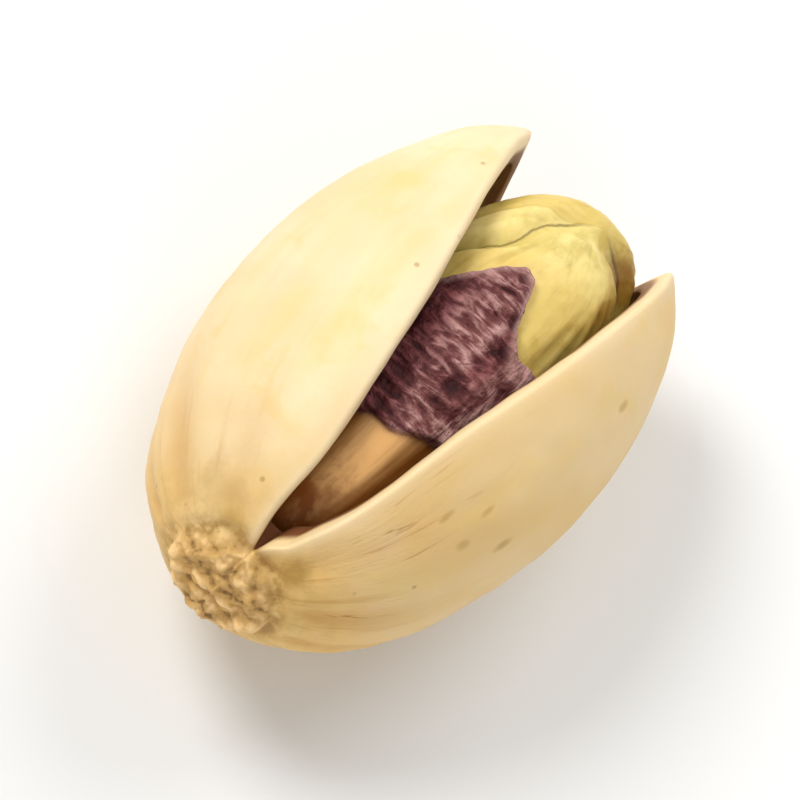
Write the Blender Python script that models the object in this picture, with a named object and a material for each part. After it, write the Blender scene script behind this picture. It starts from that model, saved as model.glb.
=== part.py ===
"""A pistachio in its shell, split open as it ripened: the shell, the kernel and the papery skin.

The nut is laid out closed, with its long axis along X from the stem scar to the beak, the upper seam
at +Z and one valve on each side, at +Y and -Y. The valves are then bent open about an oblique hinge
line, and the nut is pitched and set down on the small flat of its belly, with the open seam up.
"""

import math

import bmesh
import bpy
from mathutils import Matrix, Vector, noise

MM = 0.001

# The closed shell
SHELL_LENGTH = 22.0 * MM
SHELL_HALF_WIDTH = {1: 6.5 * MM, -1: 6.3 * MM}
SHELL_HALF_HEIGHT = 6.1 * MM
EGG = 0.11
TIP_TAPER = 0.10
TIP_TAPER_FROM = 0.2
BEAK = 0.35 * MM
BEAK_WIDTH = 0.16
KEEL = 0.16 * MM
KEEL_WIDTH = 0.22
WALL_MID = 1.1 * MM
WALL_RIM = 0.75 * MM
WALL_BASE = 1.7 * MM
WALL_TIP = 1.2 * MM
UNEVEN = 0.14 * MM
UNEVEN_SIZE = 4.5 * MM

# How far the valves gape, about a hinge line from just above the scar to the middle of the belly
OPEN_ANGLE = {1: math.radians(15.5), -1: math.radians(17.0)}
HINGE_TOP = Vector((1.5, 0, 3.5)) * MM
HINGE_FOOT = Vector((10.5, 0, -5.9)) * MM
BEND_REACH = 5.0 * MM
SHARPEST_BEND = 0.001 * MM
SPLIT_FROM = 0.1 * MM

# The upper seam isn't straight: the rim at +Y stands past the middle for most of its length, and the rim
# at -Y is cut back where the gape begins. Each has its angle, then where it sets in and where it fades.
RIM_SHIFT = {1: math.radians(6.5), -1: math.radians(-6.0)}
RIM_ONSET = {1: (0.40, 0.60), -1: (0.38, 0.15)}
RIM_FADE = {1: (1.6, 1.3), -1: (0.7, 0.9)}
RIM_SPREAD = math.radians(60)

# The stem scar and the grooves that fan out from it
SCAR_TILT = math.radians(15)
SCAR_TILT_FADE = 1.7
SCAR_EDGE = 0.34
SCAR_SHOULDER = 0.06
SCAR_MOAT = 0.22 * MM
SCAR_RAISE = 0.12 * MM
SCAR_RING = 0.25 * MM
SCAR_RING_AT = 0.21
SCAR_LINE = 0.05
SCAR_STUB = 0.40 * MM
SCAR_STUB_WIDTH = 0.07
SCAR_LUMPS = 0.22 * MM
SCAR_LUMP_FINENESS = 16
GROOVES = 11
GROOVE_DEPTH = 0.20 * MM
GROOVE_START = 0.39
GROOVE_ONSET = 0.12
GROOVE_FADE = 0.72
GROOVE_WAVER = 0.9
GROOVE_UNEVEN = 0.45

# The kernel, two seed leaves that meet in a crease round its tip
KERNEL_START = 2.9 * MM
KERNEL_END = 21.3 * MM
KERNEL_HALF_WIDTH = 4.1 * MM
KERNEL_HALF_HEIGHT = 4.1 * MM
BASE_FULLNESS = 0.82
TIP_FULLNESS = 0.65
KERNEL_TIP_TILT = math.radians(20)
KERNEL_TILT_FADE = 1.6
CREASE_ROLL = math.radians(28)
CREASE_DEPTH = 0.40 * MM
CREASE_WIDTH = 0.10
CREASE_ONSET = (0.6, 0.8)
CREASE_TIP_FADE = 0.25
CREASE_HEIGHT = 0.30
CREASE_HEIGHT_AT = 0.68
CREASE_HEIGHT_WIDTH = 0.28
CREASE_DROP = 0.08
CREASE_DROP_AT = (0.7, 0.3)
LEAF_STEP = 0.8 * MM
LEAF_STEP_ONSET = (0.35, 0.6)
LEAF_STEP_WIDTH = 0.12
KERNEL_LIFT = 0.45 * MM
KERNEL_LEAN = -1.03 * MM
KERNEL_SWELL = 0.25 * MM
SWELL_FINENESS = 1.5
CHEEK = 0.12 * MM
CHEEK_AT = (2.70, 2.35)
CHEEK_WIDTH = 0.38

# The skin, which is torn off the kernel's upper end
SKIN_GAP = 0.15 * MM
SKIN_THICKNESS = 0.30 * MM
SKIN_EDGE_TOP = math.radians(100)
SKIN_EDGE_FOOT = math.radians(118)
SKIN_TONGUE = math.radians(21)
SKIN_TONGUE_AT = math.radians(83)
SKIN_TONGUE_WIDTH = 0.36
SKIN_RAGGED = math.radians(1.6)
TEARS = ((5, 1.0, 0.4), (8, 0.8, 2.0), (13, 0.5, 0.0))
SKIN_CREASE_SHARE = 0.3
WRINKLE = 0.10 * MM
LENGTHWISE_FOLDS = 9
CROSSWISE_FOLDS = 11

# Colours, as red, green and blue, with the roughness of each surface
SHELL_COLOUR, SHELL_ROUGHNESS = (0.80, 0.62, 0.36), 0.55
KERNEL_COLOUR, KERNEL_ROUGHNESS = (0.66, 0.58, 0.20), 0.45
SKIN_COLOUR, SKIN_ROUGHNESS = (0.19, 0.07, 0.06), 0.40

# How the nut lies
PITCH = math.radians(-1.5)
FLAT_DEPTH = 0.22 * MM

# How finely each surface is divided
SHELL_STATIONS = 34
SHELL_COLUMNS = 22
KERNEL_STATIONS = 26
KERNEL_COLUMNS = 32
SKIN_STATIONS = 18
SKIN_COLUMNS = 52
CROWDING = 1.2
CREASE_CROWDING = 0.35
SHARP_EDGE = math.radians(50)

HINGE_LINE = (HINGE_FOOT - HINGE_TOP).normalized()
HINGE_NORMAL = Vector((-HINGE_LINE.z, 0, HINGE_LINE.x))


def smooth(value):
    """A smooth step from 0 at 0 to 1 at 1."""
    value = min(max(value, 0.0), 1.0)
    return value * value * (3 - 2 * value)


def bump(value, width):
    """A rounded bump of height 1 at 0."""
    return math.exp(-((value / width) ** 2))


def direction(u, v, swing):
    """The unit direction at angle u from the base pole and v round the axis, swung about Y."""
    x = -math.cos(u)
    y = math.sin(u) * math.cos(v)
    z = math.sin(u) * math.sin(v)
    return Vector((x * math.cos(swing) + z * math.sin(swing), y, z * math.cos(swing) - x * math.sin(swing)))


def shell_direction(u, v):
    """The base pole is swung up, so that it lies at the middle of the scar."""
    return direction(u, v, SCAR_TILT * (1 - smooth(u / SCAR_TILT_FADE)))


def shell_taper(along):
    """How the shell narrows from its broad base to its tip, for along from -1 to 1."""
    return 1 - EGG * along - TIP_TAPER * smooth((along - TIP_TAPER_FROM) / (1 - TIP_TAPER_FROM))


def groove_relief(u, v):
    """Grooves of uneven depth that fan out from the scar and fade along the shell."""
    window = smooth((u - GROOVE_START) / GROOVE_ONSET) * (1 - smooth((u - GROOVE_FADE) / GROOVE_FADE))
    phase = GROOVES * v + GROOVE_WAVER * math.sin(3 * v + 1) + 0.5 * u
    uneven = 1 - GROOVE_UNEVEN * (1 - math.sin(2.3 * v + 0.8))
    return -GROOVE_DEPTH * window * uneven * (0.5 + 0.5 * math.cos(phase)) ** 2


def varied(way, fineness):
    """A factor near 1 that changes over the surface, for relief that isn't even."""
    return 0.7 + 0.6 * noise.noise(fineness * way)


def scar_relief(u, way):
    """A lumpy disc in a shallow moat, with a ring and a torn stub, where the nut hung from its stalk."""
    inside = 1 - smooth((u - SCAR_EDGE + SCAR_SHOULDER) / SCAR_SHOULDER)
    moat = bump(u - SCAR_EDGE, SCAR_LINE)
    ring = bump(u - SCAR_RING_AT, SCAR_LINE) * varied(way, SCAR_LUMP_FINENESS / 2)
    lumps = inside * noise.noise(SCAR_LUMP_FINENESS * way)
    stub = bump(u, SCAR_STUB_WIDTH) * varied(way, SCAR_LUMP_FINENESS)
    return SCAR_RAISE * inside - SCAR_MOAT * moat + SCAR_RING * ring + SCAR_LUMPS * lumps + SCAR_STUB * stub


def shifted(u, v, side):
    """The angle v, moved with the rim of the upper seam where that wanders from the middle."""
    start, onset = RIM_ONSET[side]
    end, fade = RIM_FADE[side]
    along = smooth((u - start) / onset) * (1 - smooth((u - end) / fade))
    near_seam = 1 - smooth((math.pi / 2 - v) / RIM_SPREAD)
    return v + RIM_SHIFT[side] * along * near_seam


def shell_outer(u, v, side):
    """A point of the closed shell's outer face."""
    v = shifted(u, v, side)
    way = shell_direction(u, v)
    taper = shell_taper(way.x)
    point = Vector((
        SHELL_LENGTH / 2 * (1 + way.x),
        SHELL_HALF_WIDTH[side] * taper * way.y * side,
        SHELL_HALF_HEIGHT * taper * way.z,
    ))
    point.x += BEAK * bump(math.pi - u, BEAK_WIDTH)
    outward = Vector((way.x * 0.5, way.y * side, way.z)).normalized()
    keel = KEEL * bump(math.cos(v), KEEL_WIDTH) * math.sin(u)
    uneven = UNEVEN * noise.noise(point / UNEVEN_SIZE) * smooth(2 * math.cos(v))
    return point + outward * (keel + uneven + groove_relief(u, v) + scar_relief(u, way))


def shell_inner(u, v, side):
    """The point of the closed shell's inner face that lies behind the same point of the outer one."""
    v = shifted(u, v, side)
    way = shell_direction(u, v)
    taper = shell_taper(way.x)
    wall = WALL_RIM + (WALL_MID - WALL_RIM) * abs(math.cos(v))
    half_length = (SHELL_LENGTH - WALL_BASE - WALL_TIP) / 2
    return Vector((
        WALL_BASE + half_length * (1 + way.x),
        (SHELL_HALF_WIDTH[side] * taper - wall) * way.y * side,
        (SHELL_HALF_HEIGHT * taper - wall) * way.z,
    ))


def reach_beyond_hinge(point):
    """How far a point of the closed shell lies beyond the hinge line, on the side that opens."""
    return (point - HINGE_TOP).dot(HINGE_NORMAL)


def opened(point, v, side):
    """Bend a point outwards about the hinge line: sharply at the seams, gently at the middle of a valve."""
    angle = side * OPEN_ANGLE[side]
    reach = reach_beyond_hinge(point)
    bend = max(BEND_REACH * abs(math.cos(v)), SHARPEST_BEND)
    if reach <= -bend:
        return point
    radius = 2 * bend / angle
    turned = angle * min((reach + bend) / (2 * bend), 1.0)
    beyond = max(reach - bend, 0.0)
    across = radius * (1 - math.cos(turned)) + beyond * math.sin(turned) + point.y * math.cos(turned)
    along = radius * math.sin(turned) - bend + beyond * math.cos(turned) - point.y * math.sin(turned)
    return point + HINGE_NORMAL * (along - reach) + Vector((0, across - point.y, 0))


def crease_height(along):
    """How far the crease runs above the kernel's middle, from the base at -1 to the tip at 1."""
    arch = CREASE_HEIGHT * bump(along - CREASE_HEIGHT_AT, CREASE_HEIGHT_WIDTH)
    return arch - CREASE_DROP * smooth((along - CREASE_DROP_AT[0]) / CREASE_DROP_AT[1])


def kernel_point(u, v, offset=0.0, crease_share=1.0):
    """A point of the kernel, or of a surface off it by offset that sinks less into the crease."""
    way = direction(u, v, -KERNEL_TIP_TILT * smooth((u - math.pi + KERNEL_TILT_FADE) / KERNEL_TILT_FADE))
    fullness = BASE_FULLNESS + (TIP_FULLNESS - BASE_FULLNESS) * smooth(0.5 + 0.5 * way.x)
    from_axis = max(math.hypot(way.y, way.z), 0.001)
    girth = from_axis ** (fullness - 1)
    half_length = (KERNEL_END - KERNEL_START) / 2
    above_crease = math.sin(u) * math.sin(v - CREASE_ROLL) - crease_height(-math.cos(u))
    creased = smooth((u - CREASE_ONSET[0]) / CREASE_ONSET[1]) * smooth((math.pi - u) / CREASE_TIP_FADE)
    crease = CREASE_DEPTH * bump(above_crease, CREASE_WIDTH) * creased
    swell = KERNEL_SWELL * noise.noise(SWELL_FINENESS * way)
    swell += CHEEK * bump((direction(u, v, 0) - direction(*CHEEK_AT, 0)).length, CHEEK_WIDTH)
    depth = offset + swell - crease * crease_share
    beyond = smooth((way.x - LEAF_STEP_ONSET[0]) / LEAF_STEP_ONSET[1])
    upper = beyond * smooth(0.5 + 0.5 * above_crease / LEAF_STEP_WIDTH)
    x = KERNEL_START + half_length + (half_length + depth) * way.x - LEAF_STEP * upper
    lean = KERNEL_LEAN * ((x - KERNEL_START) / (KERNEL_END - KERNEL_START)) ** 3
    y = (KERNEL_HALF_WIDTH + depth) * way.y * girth + lean
    z = (KERNEL_HALF_HEIGHT + depth) * way.z * girth + KERNEL_LIFT
    return Vector((x, y, z))


def skin_edge(v):
    """How far the skin reaches from the base pole: least on the upper side, with a torn edge."""
    lift = 0.5 + 0.5 * math.sin(v)
    edge = SKIN_EDGE_FOOT + (SKIN_EDGE_TOP - SKIN_EDGE_FOOT) * lift
    tongue = SKIN_TONGUE * bump(math.remainder(v - SKIN_TONGUE_AT, math.tau), SKIN_TONGUE_WIDTH)
    ragged = sum(share * math.sin(count * v + phase) for count, share, phase in TEARS)
    return edge + tongue + SKIN_RAGGED * ragged


def skin_wrinkle(u, v):
    """Lengthwise folds of the dried skin, crossed by a few shorter ones."""
    lengthwise = math.sin(LENGTHWISE_FOLDS * v + 2.5 * math.sin(1.7 * u) + 0.6)
    crosswise = math.sin(CROSSWISE_FOLDS * u + 2 * math.sin(2 * v))
    return WRINKLE * (0.7 * lengthwise + 0.3 * crosswise) * math.sin(u)


def uneven_columns(count):
    """Angles round the kernel, closest together at the crease."""
    steps = [math.tau * j / count for j in range(count)]
    return [CREASE_ROLL + step - CREASE_CROWDING * math.sin(2 * step) for step in steps]


def shell_stations():
    """Angles along the shell, closest together at the scar."""
    return [math.pi * (i / SHELL_STATIONS) ** CROWDING for i in range(SHELL_STATIONS + 1)]


def shell_columns():
    """Angles across a valve, from the upper seam to the lower one."""
    return [math.pi / 2 - math.pi * j / SHELL_COLUMNS for j in range(SHELL_COLUMNS + 1)]


def first_split(stations, v):
    """The first station at which a seam has parted, on the outer and on the inner face."""
    parted = [
        min(reach_beyond_hinge(shell_outer(u, v, 1)), reach_beyond_hinge(shell_inner(u, v, 1))) > SPLIT_FROM
        for u in stations
    ]
    return parted.index(True)


def add_face(mesh, corners):
    """Add a face, leaving out corners that fall on one vertex."""
    distinct = list(dict.fromkeys(corners))
    if len(distinct) > 2:
        mesh.faces.new(distinct)


def build_shell(mesh):
    """Two valves that share vertices where they are still joined, with the wall cut square at the rims."""
    stations = shell_stations()
    columns = shell_columns()
    splits = {0: first_split(stations, columns[0]), SHELL_COLUMNS: first_split(stations, columns[-1])}
    vertices = {}

    def vertex(face, i, j, side):
        joined = j in splits and i < splits[j]
        if i == 0:
            key = (face, 0)
        elif i == SHELL_STATIONS:
            key = (face, i, side)
        else:
            key = (face, i, j, 0 if joined else side)
        if key not in vertices:
            surface = shell_outer if face == "outer" else shell_inner
            v = columns[j] if 0 < i < SHELL_STATIONS else columns[0]
            place = surface(stations[i], v, side)
            if i == 0 or joined or i == SHELL_STATIONS:
                place.y = 0
            vertices[key] = mesh.verts.new(place if i == 0 or joined else opened(place, v, side))
        return vertices[key]

    for side in (1, -1):
        for i in range(SHELL_STATIONS):
            for face in ("outer", "inner"):
                for j in range(SHELL_COLUMNS):
                    corners = [(i, j), (i + 1, j), (i + 1, j + 1), (i, j + 1)]
                    add_face(mesh, [vertex(face, *corner, side) for corner in corners])
            for j, split in splits.items():
                if i >= split - 1:
                    rim = [("outer", i), ("outer", i + 1), ("inner", i + 1), ("inner", i)]
                    add_face(mesh, [vertex(face, k, j, side) for face, k in rim])


def ring_grid(mesh, rows):
    """Faces between successive rings of vertices, where a ring of one is a pole."""
    for first, second in zip(rows, rows[1:]):
        count = max(len(first), len(second))
        for j in range(count):
            corners = [first[j % len(first)], second[j % len(second)]]
            corners += [second[(j + 1) % len(second)], first[(j + 1) % len(first)]]
            add_face(mesh, corners)


def build_kernel(mesh):
    """A closed surface with a pole at each end."""
    columns = uneven_columns(KERNEL_COLUMNS)
    rows = [[mesh.verts.new(kernel_point(0, 0))]]
    for i in range(1, KERNEL_STATIONS):
        u = math.pi * (1 - (1 - i / KERNEL_STATIONS) ** CROWDING)
        rows.append([mesh.verts.new(kernel_point(u, v)) for v in columns])
    rows.append([mesh.verts.new(kernel_point(math.pi, 0))])
    ring_grid(mesh, rows)


def build_skin(mesh):
    """A thin cup round the kernel's base, whose outer and inner faces meet along the torn edge."""
    columns = [math.tau * j / SKIN_COLUMNS for j in range(SKIN_COLUMNS)]
    faces = []
    for stand_off, wrinkled in ((SKIN_GAP + SKIN_THICKNESS, 1), (SKIN_GAP, 0)):
        rows = [[mesh.verts.new(kernel_point(0, 0, stand_off))]]
        for i in range(1, SKIN_STATIONS + 1):
            ring = []
            for v in columns:
                u = skin_edge(v) * i / SKIN_STATIONS
                lift = stand_off + wrinkled * skin_wrinkle(u, v)
                ring.append(mesh.verts.new(kernel_point(u, v, lift, SKIN_CREASE_SHARE)))
            rows.append(ring)
        ring_grid(mesh, rows)
        faces.append(rows)
    ring_grid(mesh, [faces[0][-1], faces[1][-1]])


def finish(name, builder, colour, roughness):
    """Build one piece as an object of its own, with its material."""
    mesh = bmesh.new()
    builder(mesh)
    bmesh.ops.recalc_face_normals(mesh, faces=mesh.faces)
    data = bpy.data.meshes.new(name)
    mesh.to_mesh(data)
    mesh.free()
    data.shade_smooth()
    data.set_sharp_from_angle(angle=SHARP_EDGE)
    material = bpy.data.materials.new(name)
    material.use_nodes = True
    shader = material.node_tree.nodes["Principled BSDF"]
    shader.inputs["Base Color"].default_value = (*colour, 1)
    shader.inputs["Roughness"].default_value = roughness
    shader.inputs["Metallic"].default_value = 0
    data.materials.append(material)
    piece = bpy.data.objects.new(name, data)
    bpy.context.scene.collection.objects.link(piece)
    return piece


def set_down(shell, pieces):
    """Pitch the nut, flatten the lowest bit of its belly and stand it with that flat at z = 0."""
    for piece in pieces:
        piece.data.transform(Matrix.Rotation(PITCH, 4, "Y"))
    floor = min(vertex.co.z for vertex in shell.data.vertices) + FLAT_DEPTH
    for vertex in shell.data.vertices:
        vertex.co.z = max(vertex.co.z, floor)
    spans = [[vertex.co[axis] for vertex in shell.data.vertices] for axis in (0, 1)]
    middle = [(min(span) + max(span)) / 2 for span in spans]
    for piece in pieces:
        piece.data.transform(Matrix.Translation((-middle[0], -middle[1], -floor)))


def main():
    for old in list(bpy.data.objects):
        bpy.data.objects.remove(old)
    shell = finish("shell", build_shell, SHELL_COLOUR, SHELL_ROUGHNESS)
    kernel = finish("kernel", build_kernel, KERNEL_COLOUR, KERNEL_ROUGHNESS)
    skin = finish("skin", build_skin, SKIN_COLOUR, SKIN_ROUGHNESS)
    set_down(shell, (shell, kernel, skin))


main()
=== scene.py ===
"""A pistachio in its shell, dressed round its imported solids.

The shell, the kernel and the skin repeat the forms of their solids on finer grids, with the small
relief that those solids leave out, and each gets a material painted with nodes. Lengths are in
metres and angles in radians unless a comment says otherwise. The nut lies along X, its stem scar
towards -X and its open seam up. A point of a piece is found from two angles: u runs from the pole
at the base to the tip, and v turns round the length, 90 degrees at the open seam and -90 degrees
at the belly.
"""

import functools
import math

import bmesh
import bpy
from bpy.props import FloatProperty, FloatVectorProperty, PointerProperty
from mathutils import Matrix, Vector, noise


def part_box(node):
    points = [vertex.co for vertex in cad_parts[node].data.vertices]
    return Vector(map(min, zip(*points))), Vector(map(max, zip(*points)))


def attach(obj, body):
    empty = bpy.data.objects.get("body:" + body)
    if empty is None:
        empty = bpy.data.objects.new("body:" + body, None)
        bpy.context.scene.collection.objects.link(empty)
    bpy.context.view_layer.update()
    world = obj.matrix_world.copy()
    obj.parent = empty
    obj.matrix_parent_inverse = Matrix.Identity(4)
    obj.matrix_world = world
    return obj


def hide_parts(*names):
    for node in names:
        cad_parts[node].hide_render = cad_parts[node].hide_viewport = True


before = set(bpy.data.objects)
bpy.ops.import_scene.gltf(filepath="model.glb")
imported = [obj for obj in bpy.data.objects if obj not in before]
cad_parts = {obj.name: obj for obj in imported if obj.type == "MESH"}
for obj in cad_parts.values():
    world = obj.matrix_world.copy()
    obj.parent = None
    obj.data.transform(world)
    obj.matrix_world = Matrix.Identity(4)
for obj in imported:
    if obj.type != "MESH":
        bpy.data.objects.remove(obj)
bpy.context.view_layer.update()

bl_info = {
    "name": "Pistachio in Shell",
    "version": (1, 0, 0),
    "blender": (4, 5, 0),
    "location": "3D View > Sidebar > Pistachio",
    "description": "Builds a gaping pistachio nut with its kernel and torn skin, on a plain stage",
    "category": "Add Mesh",
}

MM = 0.001
TOP = math.pi / 2

# Shell
SHELL_LENGTH = 22.0 * MM
SHELL_HALF_WIDTH = {1: 6.5 * MM, -1: 6.3 * MM}
SHELL_HALF_HEIGHT = 6.1 * MM
EGG = 0.11
TIP_TAPER = 0.10
TIP_TAPER_FROM = 0.2
BEAK = 0.35 * MM
BEAK_WIDTH = 0.16
KEEL = 0.16 * MM
KEEL_WIDTH = 0.22
RELIEF_ALONG = 0.5
WALL_MID = 1.1 * MM
WALL_RIM = 0.75 * MM
WALL_BASE = 1.7 * MM
WALL_TIP = 1.2 * MM
UNEVEN = 0.14 * MM
UNEVEN_SIZE = 4.5 * MM

# How the valves stand apart
OPEN_ANGLE = {1: math.radians(15.5), -1: math.radians(17.0)}
HINGE_TOP = Vector((1.5, 0, 3.5)) * MM
HINGE_FOOT = Vector((10.5, 0, -5.9)) * MM
HINGE_LINE = (HINGE_FOOT - HINGE_TOP).normalized()
HINGE_NORMAL = Vector((-HINGE_LINE.z, 0, HINGE_LINE.x))
BEND_REACH = 5.0 * MM
SHARPEST_BEND = 0.001 * MM
SPLIT_FROM = 0.1 * MM

# How the rims of the open seam wander
RIM_SHIFT = {1: math.radians(6.5), -1: math.radians(-6.0)}
RIM_ONSET = {1: (0.40, 0.60), -1: (0.38, 0.15)}
RIM_FADE = {1: (1.6, 1.3), -1: (0.7, 0.9)}
RIM_SPREAD = math.radians(60)

# Stem scar
SCAR_TILT = math.radians(15)
SCAR_TILT_FADE = 1.7
SCAR_EDGE = 0.34
SCAR_SHOULDER = 0.06
SCAR_MOAT = 0.22 * MM
SCAR_RAISE = 0.12 * MM
SCAR_RING = 0.25 * MM
SCAR_RING_AT = 0.21
SCAR_LINE = 0.05
SCAR_STUB = 0.40 * MM
SCAR_STUB_WIDTH = 0.07
SCAR_LUMPS = 0.22 * MM
SCAR_LUMP_FINENESS = 16
SCAR_RAGGED = 0.045
SCAR_RAGGED_FINENESS = 5
SCAR_KNOBS = 0.15 * MM
SCAR_KNOB_FINENESS = 9
SCAR_GRAIN = 0.07 * MM
SCAR_GRAIN_FINENESS = 38
LUMP_MEAN = 0.7
LUMP_SPREAD = 0.6
KNOB_BROAD = 2.4
KNOB_FINER = 2.1
KNOB_SHIFT = Vector((5, 0, 0))
KNOB_LEVEL = 0.7

# Grooves that run forward from the scar
GROOVES = 11
GROOVE_DEPTH = 0.20 * MM
GROOVE_START = 0.39
GROOVE_ONSET = 0.12
GROOVE_FADE = 0.72
GROOVE_WAVER = 0.9
GROOVE_WAVER_WAVE = (3, 1)
GROOVE_TWIST = 0.5
GROOVE_UNEVEN = 0.45
GROOVE_UNEVEN_WAVE = (2.3, 0.8)

# Fine relief of the shell
SEAM_LINE = 0.10 * MM
SEAM_LINE_WIDTH = 0.016
DIMPLES = 0.035 * MM
DIMPLE_SIZE = 1.1 * MM
RIM_OPENS_OVER = 0.8 * MM
RIM_BAND = 0.45 * MM
INNER_ROUNDING = 0.12 * MM
RIM_BULGE = 0.4 * INNER_ROUNDING
RIM_WAVER = 0.05 * MM
RIM_WAVER_SIZE = 1.3 * MM

# Kernel
KERNEL_START = 2.9 * MM
KERNEL_END = 21.3 * MM
KERNEL_HALF_WIDTH = 4.1 * MM
KERNEL_HALF_HEIGHT = 4.1 * MM
BASE_FULLNESS = 0.82
TIP_FULLNESS = 0.65
KERNEL_TIP_TILT = math.radians(20)
KERNEL_TILT_FADE = 1.6
CREASE_ROLL = math.radians(28)
CREASE_DEPTH = 0.40 * MM
CREASE_WIDTH = 0.10
CREASE_ONSET = (0.6, 0.8)
CREASE_TIP_FADE = 0.25
CREASE_HEIGHT = 0.30
CREASE_HEIGHT_AT = 0.68
CREASE_HEIGHT_WIDTH = 0.28
CREASE_DROP = 0.08
CREASE_DROP_AT = (0.7, 0.3)
LEAF_STEP = 0.8 * MM
LEAF_STEP_ONSET = (0.35, 0.6)
LEAF_STEP_WIDTH = 0.12
KERNEL_LIFT = 0.45 * MM
KERNEL_LEAN = -1.03 * MM
LEAN_CURVE = 3
KERNEL_SWELL = 0.25 * MM
SWELL_FINENESS = 1.5
CHEEK = 0.12 * MM
CHEEK_AT = (2.70, 2.35)
CHEEK_WIDTH = 0.38
KERNEL_WRINKLE = 0.05 * MM
KERNEL_WRINKLES = (1.5, 8, 3.0)
KERNEL_PITTING = 0.03 * MM
KERNEL_PITTING_FINENESS = 14
PITTING_PAINTED = 0.5

# Skin
SKIN_GAP = 0.15 * MM
SKIN_THICKNESS = 0.30 * MM
SKIN_EDGE_TOP = math.radians(100)
SKIN_EDGE_FOOT = math.radians(118)
SKIN_TONGUE = math.radians(21)
SKIN_TONGUE_AT = math.radians(83)
SKIN_TONGUE_WIDTH = 0.36
SKIN_RAGGED = math.radians(1.6)
TEARS = ((5, 1.0, 0.4), (8, 0.8, 2.0), (13, 0.5, 0.0))
SKIN_CREASE_SHARE = 0.3
FRAY = math.radians(1.3)
FRAYS = 9
FRAY_SEED = 0.5
TORN_THICKNESS = 0.09 * MM
TORN_THINNING = 0.16
TORN_BAND = 0.05
EDGE_CURL = 0.10 * MM
EDGE_CURL_WIDTH = 0.05
CURL_MEAN = 0.6
CURL_SPREAD = 0.8
CURL_FINENESS = 6
CURL_SEED = 0.3

# Crumples of the skin, each with its fineness along and round the kernel, its seed, its share of the
# height and what is added to that share in the middle of the split
CRUMPLES = (
    (15.0, 3.0, 0.0, 0.30, 0.45),
    (2.0, 8.0, 7.0, 0.55, -0.30),
    (20.0, 12.0, 11.0, 0.10, 0.0))
CREST_HEIGHT = 4
CREST_ROUNDING = 0.06
SPLIT_MIDDLE = 0.1
SPLIT_MIDDLE_WIDTH = 0.45

# Smooth golden end of the skin
GOLDEN_END = 1.16
GOLDEN_SLANT = 0.22
GOLDEN_WAVER = 0.035
GOLDEN_WAVERS = 4
GOLDEN_WAVER_SEED = 2.0
GOLDEN_EDGE = 0.030
GOLDEN_SINK = 0.16 * MM
GOLDEN_SINK_ONSET = 0.5
GOLDEN_STREAKS = 0.12
GOLDEN_STREAK_FINENESS = (1.2, 7)
GOLDEN_LIP = 0.07 * MM
GOLDEN_LIP_WIDTH = 0.035

# Setting down
PITCH = math.radians(-1.5)
FLAT_DEPTH = 0.22 * MM

# Grids
CROWDING = 1.2
CAD_STATIONS = 34
CAD_COLUMNS = 22
SHELL_STATIONS = 220
SHELL_COLUMNS = 168
SHELL_INNER_COLUMNS = 28
RIM_CROWDING = 0.72
RIM_STEPS = 5
KERNEL_STATIONS = 170
KERNEL_COLUMNS = 220
CREASE_CROWDING = 0.35
SKIN_STATIONS = 190
SKIN_INNER_STATIONS = 20
SKIN_COLUMNS = 320

# Depth of the relief that the materials add
SHELL_BUMP = 0.05 * MM
KERNEL_BUMP = 0.04 * MM
SKIN_BUMP = 0.11 * MM

# Marks, each with its centre in millimetres, its size, its stretch along X, Y and Z and its strength
SHELL_MARKS = (
    ((-3.51, -4.12, 10.87), 0.22, (1.6, 0.6, 1.0), 0.5),
    ((-2.20, -5.04, 10.57), 0.18, (1.8, 0.6, 1.0), 0.45),
    ((-3.52, -5.24, 9.98), 0.22, (1.2, 0.9, 1.0), 0.45),
    ((-2.17, -6.28, 9.27), 0.22, (1.9, 0.8, 1.0), 0.6),
    ((4.85, -5.93, 9.22), 0.20, (1.6, 0.7, 1.0), 0.5),
    ((-7.90, 3.00, 9.35), 0.60, (1.8, 0.6, 1.0), 0.3),
    ((-8.15, 1.80, 9.70), 0.55, (1.2, 1.6, 1.0), 0.3),
    ((-8.60, -1.65, 9.50), 0.55, (1.2, 1.0, 1.0), 1.0),
    ((-8.90, 1.10, 9.45), 0.45, (1.2, 1.2, 1.0), 0.6))
# Brown patches where the kernel meets the right valve's rim, partly stain and partly painted shade
# between the parts.
KERNEL_MARKS = (
    ((9.00, -3.00, 7.70), 1.25, (1.0, 1.0, 1.2), 0.95),
    ((7.10, -3.10, 8.85), 0.70, (1.5, 0.7, 1.0), 0.7))
SMUDGE_WAVER = 0.9
SMUDGE_WAVER_SIZE = 0.45 * MM
SMUDGE_EDGE = (1.45, 0.35)

# Stage, where each light has its place, its width and its power in watts
FLOOR_SIZE = 3.0
FLOOR_CLOUDS = 0.125
FLOOR_SHADE = (0.8, 0.8, 0.8)
CAMERA_DISTANCE = 0.40
CAMERA_AIM = Vector((0.0, 0.0, 6.5)) * MM
WORLD_BRIGHTNESS = 0.45
LIGHTS = {
    "key": (Vector((0.02, 0.34, 0.36)), 0.22, 1.55),
    "fill": (Vector((-0.30, -0.28, 0.30)), 0.30, 0.5),
    "back": (Vector((0.34, 0.02, 0.30)), 0.30, 0.8),
}


def smooth(value):
    """Ease from 0 at 0 to 1 at 1."""
    value = min(max(value, 0.0), 1.0)
    return value * value * (3 - 2 * value)


def bump(value, width):
    """A round hump of height 1 at 0."""
    return math.exp(-((value / width) ** 2))


def wave(v, count, phase):
    """A wave round the length, from -1 to 1."""
    return math.sin(count * v + phase)


def off_seams(v):
    """0 at the open seam and the belly, and 1 away from them."""
    return smooth(2 * math.cos(v))


def around(v, seed):
    """A place for noise that depends on v alone and closes on itself."""
    return Vector((math.cos(v), math.sin(v), seed))


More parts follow.
